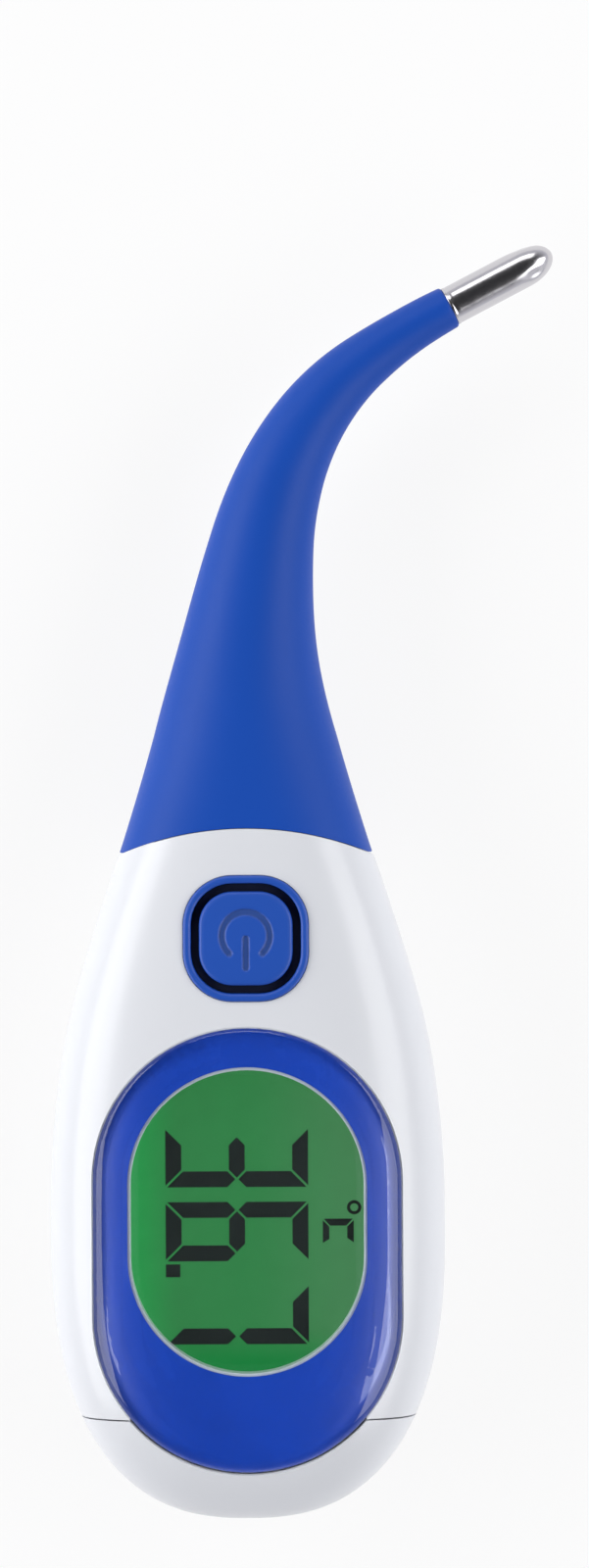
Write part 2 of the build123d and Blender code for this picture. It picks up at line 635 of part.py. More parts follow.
def nose(radius, length, shoulder, back):
    """A rod on the stem's axis with a rounded nose beyond the shoulder."""
    barrel = y_rod(radius, back, shoulder)
    arc = EllipticalCenterArc((0, 0), radius, length, start_angle=0, arc_size=90)
    outline = arc + Polyline((0, length), (0, 0), (radius, 0))
    dome = Pos(0, shoulder, AXIS_Z) * revolve(make_face(outline), Axis.Y)
    return barrel + dome


def build_probe():
    """The plated cap on the stem's end, its sensor and its filling."""
    place = bent(HINGES)
    shoulder = STEM_END + PROBE_LENGTH - PROBE_NOSE
    cap = nose(PROBE_RADIUS, PROBE_NOSE, shoulder, STEM_END)
    cap -= nose(PROBE_RADIUS - PROBE_WALL, PROBE_NOSE - PROBE_WALL, shoulder, STEM_END + 0.4)
    cap += y_rod(PROBE_PLUG_RADIUS, STEM_END - PROBE_PLUG_LENGTH, STEM_END + 0.2)
    cap -= y_rod(PROBE_PLUG_RADIUS - PROBE_WALL, STEM_END - PROBE_PLUG_LENGTH - 1, STEM_END + 1)
    node("probe_cap", place * one(cap))

    bead_y = STEM_END + PROBE_LENGTH - 2.6
    bead = Pos(0, bead_y, AXIS_Z) * Sphere(THERMISTOR_RADIUS)
    fill = nose(PROBE_RADIUS - PROBE_WALL - 0.02, PROBE_NOSE - PROBE_WALL - 0.02, shoulder, shoulder - 2.0)
    fill -= Pos(0, bead_y, AXIS_Z) * Sphere(THERMISTOR_RADIUS + 0.01)
    for side in (-1, 1):
        fill -= y_rod(LEAD_RADIUS + 0.02, STEM_END, bead_y, z=side * LEAD_SPACING / 2)
    node("thermistor", place * one(bead))
    node("tip_filling", place * one(fill))

    ends = [LEADS_START, *HINGE_Y, bead_y]
    for k in range(HINGES + 1):
        low = ends[k] + (HINGE_GAP if k else 0)
        high = ends[k + 1] - HINGE_GAP
        leads = [one(y_rod(LEAD_RADIUS, low, high, z=s * LEAD_SPACING / 2)) for s in (-1, 1)]
        if k == HINGES:
            ball = Pos(0, bead_y, AXIS_Z) * Sphere(THERMISTOR_RADIUS + 0.01)
            leads = [one(lead - ball) for lead in leads]
        node(f"sensor_leads_{k}", bent(k) * Compound(children=leads))


def main():
    build_housing()
    build_end_cap()
    build_display()
    build_button()
    build_board()
    build_power()
    build_stem()
    build_probe()
    os.makedirs("parts", exist_ok=True)
    for name, shape in NODES.items():
        export_step(shape, f"parts/{name}.step")


main()
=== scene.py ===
import bpy
import json
import math
from mathutils import Matrix, Vector

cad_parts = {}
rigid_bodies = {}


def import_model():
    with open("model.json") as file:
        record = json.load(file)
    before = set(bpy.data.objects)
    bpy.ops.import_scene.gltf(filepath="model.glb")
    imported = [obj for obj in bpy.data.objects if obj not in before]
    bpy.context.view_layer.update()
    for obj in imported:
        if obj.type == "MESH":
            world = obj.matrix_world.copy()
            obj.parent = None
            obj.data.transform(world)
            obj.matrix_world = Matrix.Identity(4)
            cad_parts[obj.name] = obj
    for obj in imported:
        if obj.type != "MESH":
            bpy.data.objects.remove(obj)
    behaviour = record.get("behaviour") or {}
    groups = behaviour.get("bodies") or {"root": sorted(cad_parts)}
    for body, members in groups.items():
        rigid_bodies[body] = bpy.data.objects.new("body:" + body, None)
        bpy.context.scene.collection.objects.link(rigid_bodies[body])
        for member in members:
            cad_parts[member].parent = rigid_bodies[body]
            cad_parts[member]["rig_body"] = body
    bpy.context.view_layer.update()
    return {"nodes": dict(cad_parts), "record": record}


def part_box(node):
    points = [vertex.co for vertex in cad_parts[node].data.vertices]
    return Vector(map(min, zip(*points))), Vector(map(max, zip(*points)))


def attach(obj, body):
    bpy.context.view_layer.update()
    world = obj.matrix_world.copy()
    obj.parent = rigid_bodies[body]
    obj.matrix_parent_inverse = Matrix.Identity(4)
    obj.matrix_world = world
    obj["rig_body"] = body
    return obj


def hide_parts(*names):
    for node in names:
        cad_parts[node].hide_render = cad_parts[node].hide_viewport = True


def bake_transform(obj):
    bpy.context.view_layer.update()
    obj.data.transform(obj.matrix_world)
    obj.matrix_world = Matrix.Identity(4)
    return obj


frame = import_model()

# ------------------------------------------------------------------ camera
# Straight above the thermometer, far enough off that the housing's sides barely show.
# The picture's long side is 160 mm of the table, and up in the picture is towards the stem.
view_height_mm = 160.0
lens_mm, film_mm = 150.0, 36.0
camera_data = bpy.data.cameras.new("copy_stand")
camera_data.lens = lens_mm
camera_data.sensor_width = film_mm
camera_data.clip_start = 0.01
camera = bpy.data.objects.new("copy_stand", camera_data)
camera.location = (0.0050, 0.0450, view_height_mm / 1000 * lens_mm / film_mm + 0.012)
camera.rotation_euler = (0, 0, math.radians(-0.3))
bpy.context.scene.collection.objects.link(camera)
bpy.context.scene.camera = camera
bpy.context.scene.view_settings.view_transform = "Standard"


# ------------------------------------------------------------------ soft boxes and room
# A long soft box on each side and a smaller one past the probe, under a sky that is bright low down
# and dark above, so that the housing is lit evenly and the lens shows no veil.
def add(tree, kind, sockets=None, links=None, **settings):
    """Adds one node with its settings, its socket values and its incoming links."""
    made = tree.nodes.new(kind)
    for key, value in settings.items():
        setattr(made, key, value)
    for key, value in (sockets or {}).items():
        made.inputs[key].default_value = value
    for key, source in (links or {}).items():
        tree.links.new(source, made.inputs[key])
    return made


def srgb(text):
    """A hex colour as the linear numbers that shaders work in."""
    linear = []
    for at in (1, 3, 5):
        c = int(text[at:at + 2], 16) / 255
        linear.append(c / 12.92 if c <= 0.04045 else ((c + 0.055) / 1.055) ** 2.4)
    return (*linear, 1.0)


soft_boxes = {
    # name: (place, width and height, watts)
    "left_soft_box": ((-0.55, 0.06, 0.30), (0.80, 0.40), 4.0),
    "right_soft_box": ((0.46, 0.00, 0.36), (0.70, 0.30), 2.5),
    "far_soft_box": ((-0.05, 0.62, 0.40), (0.50, 0.24), 1.0),
}
for name, (place, (width, height), watts) in soft_boxes.items():
    lamp = bpy.data.lights.new(name, "AREA")
    lamp.shape, lamp.size, lamp.size_y, lamp.energy = "RECTANGLE", width, height, watts
    held = bpy.data.objects.new(name, lamp)
    held.location = place
    aim = Vector((0.005, 0.045, 0.01)) - Vector(place)
    held.rotation_euler = aim.to_track_quat("-Z", "Y").to_euler()
    bpy.context.scene.collection.objects.link(held)

room = bpy.data.worlds.new("studio")
room.use_nodes = True
bpy.context.scene.world = room
sky = room.node_tree
sky_way = add(sky, "ShaderNodeTexCoord")
sky_height = add(sky, "ShaderNodeSeparateXYZ", links={0: sky_way.outputs["Generated"]})
sky_shade = add(sky, "ShaderNodeMapRange", {"From Min": 0.05, "From Max": 0.80, "To Min": 0.70, "To Max": 0.03},
                {"Value": sky_height.outputs["Z"]}, interpolation_type="SMOOTHSTEP")
sky_path = add(sky, "ShaderNodeLightPath")
sky_level = add(sky, "ShaderNodeMix", {"B": 1.0},
                {"Factor": sky_path.outputs["Is Camera Ray"], "A": sky_shade.outputs[0]}, data_type="FLOAT")
sky.links.new(sky_level.outputs[0], sky.nodes["Background"].inputs["Strength"])
sky.nodes["Background"].inputs["Color"].default_value = srgb("#f7f8ff")


# ------------------------------------------------------------------ table
# A matt white sweep of paper that the thermometer lies on. To the eye and in reflections it
# is paper white, and it keeps a faint shadow under the object.
sweep = bpy.data.meshes.new("table_paper")
sweep.from_pydata([(-1.5, -1.5, 0), (1.5, -1.5, 0), (1.5, 1.5, 0), (-1.5, 1.5, 0)], [], [(0, 1, 2, 3)])
table = bpy.data.objects.new("table_paper", sweep)
bpy.context.scene.collection.objects.link(table)
paper = bpy.data.materials.new("matt_white_paper")
paper.use_nodes = True
tree = paper.node_tree
tree.nodes.remove(tree.nodes["Principled BSDF"])
lit = add(tree, "ShaderNodeBsdfDiffuse", {"Color": srgb("#efeff0")})
white = add(tree, "ShaderNodeEmission", {"Color": (1, 1, 1, 1), "Strength": 1.0})
path = add(tree, "ShaderNodeLightPath")
seen = add(tree, "ShaderNodeMath", links={0: path.outputs["Is Camera Ray"], 1: path.outputs["Is Glossy Ray"]},
           operation="MAXIMUM")
seen = add(tree, "ShaderNodeMath", links={0: seen.outputs[0], 1: path.outputs["Is Transmission Ray"]},
           operation="MAXIMUM")
share = add(tree, "ShaderNodeMath", {1: 0.86}, {0: seen.outputs[0]}, operation="MULTIPLY")
mixed = add(tree, "ShaderNodeMixShader", links={0: share.outputs[0], 1: lit.outputs[0], 2: white.outputs[0]})
tree.links.new(mixed.outputs[0], tree.nodes["Material Output"].inputs["Surface"])
sweep.materials.append(paper)


# ------------------------------------------------------------------ flexible stem
# One soft blue elastomer moulding, thick and oval where it leaves the housing and round and thin at the probe.
# It is moulded over the neck inside the housing; on the thermometer it is the part that bends, and here its skin is
# built once, in the rest bend.
AXIS = 10.2
stations = (  # along the thermometer, half width, half depth, in mm, from the housing's widest place
    (0.0, 20.10, 10.50), (10.0, 19.75, 10.48), (20.0, 18.35, 10.30), (30.0, 15.60, 9.65), (40.0, 12.30, 8.60),
    (50.0, 9.35, 7.30), (59.0, 7.10, 6.10), (68.0, 5.60, 5.05), (77.0, 4.48, 4.15), (86.5, 3.45, 3.30),
    (95.5, 2.55, 2.50), (102.1, 2.20, 2.20))
tail_length = 29.85
stem_end = 102.1
bend_each = math.radians(10.4)
hinge_places = (59.8, 73.2, 79.4, 84.5, 89.2, 96.4)
region_edges = (49.9, 69.7, 76.7, 82.1, 86.9, 91.5, 101.3)


def along_stations(y, column):
    """The half width or half depth at a place along the thermometer, on a smooth curve through the stations."""
    k = max(i for i in range(len(stations) - 1) if stations[i][0] <= max(y, 0.0))

    def slope(i):
        if i == 0:
            return 0.0
        low, high = (i - 1, i) if i == len(stations) - 1 else (i - 1, i + 1)
        return (stations[high][column] - stations[low][column]) / (stations[high][0] - stations[low][0])

    span = stations[k + 1][0] - stations[k][0]
    t = (y - stations[k][0]) / span
    return ((2 * t**3 - 3 * t**2 + 1) * stations[k][column] + (t**3 - 2 * t**2 + t) * slope(k) * span
            + (3 * t**2 - 2 * t**3) * stations[k + 1][column] + (t**3 - t**2) * slope(k + 1) * span)


def half_width(y):
    if y < 0:
        return stations[0][1] * max(0.0, 1 - min(1.0, -y / tail_length) ** 2.5) ** (1 / 2.5)
    return along_stations(y, 1)


def half_depth(y):
    if y < 0:
        return stations[0][2] * max(0.0, 1 - min(1.0, -y / tail_length) ** 3.5) ** (1 / 3.5)
    return along_stations(y, 2)


def smooth(t):
    t = min(1.0, max(0.0, t))
    return t * t * (3 - 2 * t)


def roundness(y, front):
    """The power of the oval section: squarish on the housing, a plain ellipse on the stem."""
    housing_power = 3.0 if front else 2.6
    return housing_power + (2.0 - housing_power) * smooth((y - 28.0) / 28.0)


def skin_point(y, turn, inset=0.0):
    """A point of the straight form in mm, turn radians round its section from +X."""
    c, s = math.cos(turn), math.sin(turn)
    power = 2 / roundness(y, s >= 0)
    wide, deep = half_width(y) - inset, half_depth(y) - inset
    return (math.copysign(abs(c) ** power, c) * wide, y, AXIS + math.copysign(abs(s) ** power, s) * deep)


def link_place(link):
    """Where a stem link lies at rest: turned by its share about every hinge up to it."""
    place = Matrix.Identity(4)
    for hinge in hinge_places[:link]:
        to_hinge = Matrix.Translation((0, hinge, 0))
        place = place @ to_hinge @ Matrix.Rotation(-bend_each, 4, "Z") @ to_hinge.inverted()
    return place


def bent(point):
    """A point of the straight stem, in mm, carried to the rest bend, in metres.

    Each bending region follows one smooth curve that leaves along the last link and arrives along the next."""
    x, y, z = point
    link = sum(y >= edge for edge in region_edges)
    if link == 0 or link > len(hinge_places):
        return (link_place(min(link, len(hinge_places))) @ Vector(point)) / 1000
    low, high = region_edges[link - 1], region_edges[link]
    reach, t = high - low, (y - low) / (high - low)
    before, after = link_place(link - 1), link_place(link)
    start, end = before @ Vector((0, low, 0)), after @ Vector((0, high, 0))
    leave, arrive = before.to_3x3() @ Vector((0, reach, 0)), after.to_3x3() @ Vector((0, reach, 0))
    middle = ((2 * t**3 - 3 * t**2 + 1) * start + (t**3 - 2 * t**2 + t) * leave
              + (3 * t**2 - 2 * t**3) * end + (t**3 - t**2) * arrive)
    along = ((6 * t**2 - 6 * t) * (start - end) + (3 * t**2 - 4 * t + 1) * leave + (3 * t**2 - 2 * t) * arrive)
    along.normalize()
    return (middle + Vector((along.y, -along.x, 0)) * x + Vector((0, 0, z))) / 1000


def neck_line(x):
    """The arched front edge of the housing at x."""
    rise, half, top = 2.5, 12.5, 40.5
    radius = (half**2 + rise**2) / (2 * rise)
    return top - radius + math.sqrt(max(0.0, radius**2 - min(abs(x), half)**2))


def tube(name, rows, closed=True, cap_last=False, cap_first=False, material=None):
    """A mesh from rows of points in metres, each joined to the next, smooth all over."""
    count = len(rows[0])
    points = [p for row in rows for p in row]
    faces = []
    for r in range(len(rows) - 1):
        for c in range(count if closed else count - 1):
            d = (c + 1) % count
            faces.append((r * count + c, r * count + d, (r + 1) * count + d, (r + 1) * count + c))
    if cap_last:
        faces.append(tuple((len(rows) - 1) * count + c for c in range(count)))
    if cap_first:
        faces.append(tuple(range(count))[::-1])
    mesh = bpy.data.meshes.new(name)
    mesh.from_pydata(points, [], faces)
    mesh.shade_smooth()
    if material:
        mesh.materials.append(material)
    made = bpy.data.objects.new(name, mesh)
    bpy.context.scene.collection.objects.link(made)
    return made


def moulded(name, colour, roughness, grain_mm, grain_depth_mm, drift=0.04, drift_mm=9.0, ior=1.5, coat=0.0):
    """A moulded surface: an even body colour that drifts a little, with the fine grain the tool left in it."""
    made = bpy.data.materials.new(name)
    made.use_nodes = True
    tree = made.node_tree
    shader = tree.nodes["Principled BSDF"]
    place = add(tree, "ShaderNodeTexCoord")
    cloud = add(tree, "ShaderNodeTexNoise", {"Scale": 1000 / drift_mm, "Detail": 3.0},
                {"Vector": place.outputs["Object"]})
    body = srgb(colour)
    low = tuple(c * (1 - drift) for c in body[:3]) + (1.0,)
    high = tuple(min(1.0, c * (1 + drift)) for c in body[:3]) + (1.0,)
    tone = add(tree, "ShaderNodeMix", {"A": low, "B": high}, {"Factor": cloud.outputs[0]}, data_type="RGBA")
    tree.links.new(tone.outputs["Result"], shader.inputs["Base Color"])
    grain = add(tree, "ShaderNodeTexNoise", {"Scale": 1000 / grain_mm, "Detail": 2.0},
                {"Vector": place.outputs["Object"]})
    rough = add(tree, "ShaderNodeMapRange", {"To Min": roughness * 0.88, "To Max": roughness * 1.12},
                {"Value": grain.outputs[0]})
    tree.links.new(rough.outputs[0], shader.inputs["Roughness"])
    bump = add(tree, "ShaderNodeBump", {"Strength": 1.0, "Distance": grain_depth_mm / 1000},
               {"Height": grain.outputs[0]})
    tree.links.new(bump.outputs[0], shader.inputs["Normal"])
    shader.inputs["IOR"].default_value = ior
    shader.inputs["Coat Weight"].default_value = coat
    return made


# Thermoplastic elastomer, moulded in a finely eroded tool: a soft broad sheen over an even deep blue.
blue_elastomer = moulded("moulded_blue_elastomer", "#0647ac", 0.52, 0.35, 0.006, drift=0.03, ior=1.34)
blue_elastomer.node_tree.nodes["Principled BSDF"].inputs["Sheen Weight"].default_value = 0.05

turns = 96
ring_turns = [-2 * math.pi * k / turns for k in range(turns)]


def neck_ring(share, inset=0.0):
    """A ring of the stem between the arched neck line (0) and the first bend's edge (1)."""
    ring = []
    for turn in ring_turns:
        y = 40.0
        for _ in range(4):
            x = skin_point(y, turn, inset)[0]
            start = neck_line(x) + 0.06
            y = start + share * (region_edges[0] - start)
        ring.append(bent(skin_point(y, turn, inset)))
    return ring


rows = [neck_ring(0.0, 1.2), neck_ring(0.0, 0.12), neck_ring(0.004, 0.03), neck_ring(0.012)]
rows += [neck_ring(k / 10) for k in range(1, 11)]
stem_neck = tube("stem_neck", rows, material=blue_elastomer)
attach(stem_neck, "housing")
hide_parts("stem_root")


def stem_ring(y, inset=0.0):
    return [bent(skin_point(y, turn, inset)) for turn in ring_turns]


def way_on_ring(y, turn):
    """The outward direction of the bent skin at a place, from its neighbours on the same surface."""
    along = bent(skin_point(min(y + 0.4, stem_end), turn)) - bent(skin_point(y - 0.4, turn))
    across = bent(skin_point(y, turn + 0.02)) - bent(skin_point(y, turn - 0.02))
    return along.cross(across).normalized()


for link in range(1, len(hinge_places) + 1):
    low, high = region_edges[link - 1], region_edges[link]
    count = max(10, round((high - low) / 0.7))
    places = [low + (high - low) * k / count for k in range(count + 1)]
    piece = tube(f"stem_skin_{link}", [stem_ring(y) for y in places], material=blue_elastomer)
    ways = [way_on_ring(y, turn) for y in places for turn in ring_turns]
    piece.data.normals_split_custom_set_from_vertices(ways)
    first = link_place(link - 1) @ Vector((0, low, AXIS)) / 1000
    last = link_place(link) @ Vector((0, high, AXIS)) / 1000
    spare = (last - first).normalized() * half_width(low) * math.sin(bend_each / 2) / 1000
    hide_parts(f"stem_link_{link}")
    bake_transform(piece)
ways = [way_on_ring(p.y * 1000, turn) for row in rows for p, turn in zip(row, ring_turns)]
stem_neck.data.normals_split_custom_set_from_vertices(ways)

# The last millimetre of the stem, rolled in round the cap's collar.
rows = [stem_ring(region_edges[-1]), stem_ring(stem_end - 0.3), stem_ring(stem_end - 0.12, 0.03),
        stem_ring(stem_end, 0.16), stem_ring(stem_end, 0.5)]
stem_lip = tube("stem_lip", rows, material=blue_elastomer)
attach(stem_lip, f"stem_{len(hinge_places)}")


# ------------------------------------------------------------------ plated probe cap
# A thin drawn metal cap, nickel plated and polished, pressed into the stem's end over the sensor.
# Its foot is rolled, and the drawing punch has left soft flats beside the nose.
polished_plate = bpy.data.materials.new("polished_nickel_plate")
polished_plate.use_nodes = True
tree = polished_plate.node_tree
shader = tree.nodes["Principled BSDF"]
shader.inputs["Metallic"].default_value = 1.0
shader.inputs["Base Color"].default_value = srgb("#d2d0d4")
place = add(tree, "ShaderNodeTexCoord")
# fine polishing lines about 0.2 mm apart, and slow waves from the drawing
lines = add(tree, "ShaderNodeTexNoise", {"Scale": 1000 / 0.25, "Detail": 2.0}, {"Vector": place.outputs["Object"]})
waves = add(tree, "ShaderNodeTexNoise", {"Scale": 1000 / 3.0, "Detail": 1.0}, {"Vector": place.outputs["Object"]})
rough = add(tree, "ShaderNodeMapRange", {"To Min": 0.16, "To Max": 0.27}, {"Value": lines.outputs[0]})
tree.links.new(rough.outputs[0], shader.inputs["Roughness"])
bump = add(tree, "ShaderNodeBump", {"Strength": 1.0, "Distance": 0.00005}, {"Height": waves.outputs[0]})
tree.links.new(bump.outputs[0], shader.inputs["Normal"])

cap_radius, cap_length, cap_nose = 2.0, 11.8, 3.4
cap_foot = stem_end + 0.02
cap_shoulder = stem_end + cap_length - cap_nose


def cap_ring(y, radius):
    """A ring round the probe cap, with three soft flats beside its nose."""
    ring = []
    for turn in ring_turns:
        near = math.exp(-((y - cap_shoulder - 0.9) / 1.1) ** 2)
        flat = 0.10 * near * max(0.0, math.cos(3 * (turn - 0.9))) ** 2
        r = radius * (1 - flat)
        ring.append(link_place(len(hinge_places)) @ Vector((r * math.cos(turn), y, AXIS + r * math.sin(turn))) / 1000)
    return ring


profile = [(cap_foot, 1.4), (cap_foot, 1.98), (cap_foot + 0.06, 2.04), (cap_foot + 0.30, 2.04),
           (cap_foot + 0.38, 1.97), (cap_foot + 0.44, cap_radius)]
profile += [(cap_foot + 0.44 + (cap_shoulder - cap_foot - 0.44) * k / 24, cap_radius) for k in range(1, 25)]
nose_steps = 24
for k in range(1, nose_steps):
    a = math.pi / 2 * k / nose_steps
    profile.append((cap_shoulder + cap_nose * math.sin(a), cap_radius * math.cos(a)))
profile.append((cap_shoulder + cap_nose * 0.9999, 0.02))
probe = tube("probe_plated_cap", [cap_ring(y, r) for y, r in profile], cap_last=True, material=polished_plate)
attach(probe, f"stem_{len(hinge_places)}")
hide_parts("probe_cap")


# ------------------------------------------------------------------ housing shells
# Front and rear shells and a pull-off end cap, all injection moulded in white ABS and polished
# to a satin. The shells clip together round the middle, and the end cap meets them at a fine seam.
white_abs = moulded("satin_white_abs", "#dfe1e6", 0.30, 0.5, 0.0025, drift=0.012, drift_mm=14.0, ior=1.52, coat=0.15)
white_abs.node_tree.nodes["Principled BSDF"].inputs["Coat Roughness"].default_value = 0.12


def skin_way(point):
    """How far a point lies off the housing's outer form (about 0 on it), and the form's outward direction."""
    x, y, z = (c * 1000 for c in point)
    step = 0.02

    def level(x, y, z):
        wide, deep = half_width(y), half_depth(y)
        power = roundness(y, z >= AXIS)
        return (abs(x) / max(wide, 0.2)) ** power + (abs(z - AXIS) / max(deep, 0.2)) ** power - 1

    grade = Vector((level(x + step, y, z) - level(x - step, y, z), level(x, y + step, z) - level(x, y - step, z),
                    level(x, y, z + step) - level(x, y, z - step))) / (2 * step)
    return level(x, y, z) / max(grade.length, 1e-6), grade.normalized()


def smoothed_shell(node_name, name, material):
    """The moulding as made, with its outer skin shaded as the one smooth surface it is."""
    source = frame["nodes"][node_name]
    mesh = source.data.copy()
    mesh.name = name
    made = bpy.data.objects.new(name, mesh)
    bpy.context.scene.collection.objects.link(made)
    mesh.materials.clear()
    mesh.materials.append(material)
    mesh.polygons.foreach_set("use_smooth", [True] * len(mesh.polygons))
    known = {}
    ways = []
    for face in mesh.polygons:
        for corner in face.loop_indices:
            at = mesh.loops[corner].vertex_index
            if at not in known:
                known[at] = skin_way(mesh.vertices[at].co)
            off, way = known[at]
            ways.append(way if abs(off) < 0.03 and way.dot(face.normal) > 0.85 else face.normal.copy())
    mesh.normals_split_custom_set(ways)
    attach(made, source["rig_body"])
    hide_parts(node_name)


smoothed_shell("front_shell", "housing_front", white_abs)
smoothed_shell("rear_shell", "housing_rear", white_abs)
smoothed_shell("end_cap", "housing_end_cap", white_abs)


# ------------------------------------------------------------------ lens
# A clear acrylic lens, moulded to the housing's curve and set in its pocket a quarter of a millimetre
# proud, with a bevel all round. Its underside is printed blue except for the display's window.
lens_radius, lens_far, lens_near = 15.6, 4.8, -8.95
window_radius, window_far, window_near = 12.0, 4.45, -2.75


def slot_outline(radius, far, near, count=40, runs=14):
    """Points round a slot along the thermometer: two half circles and two straight sides, in mm."""
    points = [(radius * math.cos(math.pi * k / count), far + radius * math.sin(math.pi * k / count))
              for k in range(count + 1)]
    points += [(-radius, far + (near - far) * k / runs) for k in range(1, runs)]
    points += [(-radius * math.cos(math.pi * k / count), near - radius * math.sin(math.pi * k / count))
               for k in range(count + 1)]
    points += [(radius, near + (far - near) * k / runs) for k in range(1, runs)]
    return points


def front_height(x, y, inset):
    """The height of the housing's front over the table at a place, inset from the outer form."""
    wide, deep = half_width(y) - inset, half_depth(y) - inset
    power = roundness(y, True)
    return AXIS + deep * max(0.0, 1 - (abs(x) / wide) ** power) ** (1 / power)


def slot_ring(radius, far, near, inset):
    return [Vector((x, y, front_height(x, y, inset))) / 1000 for x, y in slot_outline(radius, far, near)]


# Clear acrylic, polished: it shows what is under it and takes a hard highlight along its bevel.
clear_acrylic = bpy.data.materials.new("polished_clear_acrylic")
clear_acrylic.use_nodes = True
tree = clear_acrylic.node_tree
shader = tree.nodes["Principled BSDF"]
shader.inputs["Base Color"].default_value = srgb("#f4f7fb")
shader.inputs["Transmission Weight"].default_value = 1.0
shader.inputs["IOR"].default_value = 1.49
place = add(tree, "ShaderNodeTexCoord")
# handling marks, a millimetre or two across, that only soften the gloss a little
marks = add(tree, "ShaderNodeTexNoise", {"Scale": 1000 / 2.0, "Detail": 4.0}, {"Vector": place.outputs["Object"]})
rough = add(tree, "ShaderNodeMapRange", {"From Min": 0.45, "From Max": 0.8, "To Min": 0.01, "To Max": 0.06},
            {"Value": marks.outputs[0]})
tree.links.new(rough.outputs[0], shader.inputs["Roughness"])
path = add(tree, "ShaderNodeLightPath")
lets_light = add(tree, "ShaderNodeBsdfTransparent")
mixed = add(tree, "ShaderNodeMixShader", links={0: path.outputs["Is Shadow Ray"], 1: shader.outputs[0],
                                                2: lets_light.outputs[0]})
tree.links.new(mixed.outputs[0], tree.nodes["Material Output"].inputs["Surface"])

steps_in = (0.6, 1.5, 3, 5, 7, 9, 11, 13, 14.5, 15.5)
rows = [slot_ring(lens_radius - step, lens_far, lens_near, 1.25) for step in steps_in[::-1]]
rows += [slot_ring(lens_radius, lens_far, lens_near, 1.2), slot_ring(lens_radius, lens_far, lens_near, 0.10),
         slot_ring(lens_radius - 0.05, lens_far, lens_near, -0.02),
         slot_ring(lens_radius - 0.30, lens_far, lens_near, -0.20),
         slot_ring(lens_radius - 0.42, lens_far, lens_near, -0.24)]
rows += [slot_ring(lens_radius - step, lens_far, lens_near, -0.25) for step in steps_in]
lens = tube("lens_clear_front", rows, cap_first=True, cap_last=True, material=clear_acrylic)
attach(lens, "housing")
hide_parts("lens")

# Screen-printed ink on the lens's underside: dense cobalt, a shade deeper where it is laid thick.
blue_ink = moulded("screen_printed_cobalt_ink", "#0338a0", 0.35, 0.4, 0.001, drift=0.08, drift_mm=7.0)
# Die-cut black foam under the print, which seals the lens in its pocket.
black_foam = moulded("die_cut_black_foam", "#17181b", 0.85, 0.5, 0.05)


# ------------------------------------------------------------------ display
# A reflective-backed liquid crystal cell in a pale silver-painted frame, lit from its edges by green
# light-emitting chips. The figures are dark where the crystal stops the light.
# Silver-painted plastic: an even pale grey with a faint metallic sparkle.
silver_paint = moulded("silver_painted_frame", "#ccd3d6", 0.32, 0.3, 0.004)
silver_paint.node_tree.nodes["Principled BSDF"].inputs["Metallic"].default_value = 0.35

cell = bpy.data.materials.new("edge_lit_green_display")
cell.use_nodes = True
tree = cell.node_tree
shader = tree.nodes["Principled BSDF"]
shader.inputs["Base Color"].default_value = srgb("#0c2a18")
shader.inputs["Roughness"].default_value = 0.25
shader.inputs["Emission Strength"].default_value = 0.86
place = add(tree, "ShaderNodeTexCoord")
side = add(tree, "ShaderNodeSeparateXYZ", links={0: place.outputs["Object"]})
# the glow falls off over about 4 mm from the lit left side, and stays greyer towards the right
across = add(tree, "ShaderNodeMapRange", {"From Min": -0.012, "From Max": -0.0065, "To Min": 1.0, "To Max": 0.0},
             {"Value": side.outputs["X"]}, interpolation_type="SMOOTHSTEP")
right = add(tree, "ShaderNodeMapRange", {"From Min": -0.001, "From Max": 0.0115},
            {"Value": side.outputs["X"]}, interpolation_type="SMOOTHSTEP")
low_end = add(tree, "ShaderNodeMapRange", {"From Min": -0.0148, "From Max": -0.0095, "To Min": 1.0, "To Max": 0.0},
              {"Value": side.outputs["Y"]}, interpolation_type="SMOOTHSTEP")
glow = add(tree, "ShaderNodeMix", {"A": srgb("#358747"), "B": srgb("#4c8a56")}, {"Factor": right.outputs[0]},
           data_type="RGBA")
glow = add(tree, "ShaderNodeMix", {"B": srgb("#2ba24e")},
           {"Factor": across.outputs[0], "A": glow.outputs["Result"]}, data_type="RGBA")
glow = add(tree, "ShaderNodeMix", {"B": srgb("#018435")},
           {"Factor": low_end.outputs[0], "A": glow.outputs["Result"]}, data_type="RGBA")
speck = add(tree, "ShaderNodeTexNoise", {"Scale": 1000 / 1.6, "Detail": 2.0}, {"Vector": place.outputs["Object"]})
uneven = add(tree, "ShaderNodeMapRange", {"To Min": 0.94, "To Max": 1.06}, {"Value": speck.outputs[0]})
glow = add(tree, "ShaderNodeVectorMath", links={0: glow.outputs["Result"], "Scale": uneven.outputs[0]},
           operation="SCALE")
tree.links.new(glow.outputs[0], shader.inputs["Emission Color"])

low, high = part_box("front_polariser")
face_z = high.z
columns, lines_up = 12, 16
rows = [[Vector((low.x + (high.x - low.x) * c / columns, low.y + (high.y - low.y) * r / lines_up, face_z))
         for c in range(columns + 1)] for r in range(lines_up + 1)]
display = tube("display_face", rows, closed=False, material=cell)
thick = display.modifiers.new("film", "SOLIDIFY")
thick.thickness = 0.0002
thick.offset = -1
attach(display, "housing")
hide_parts("front_polariser")
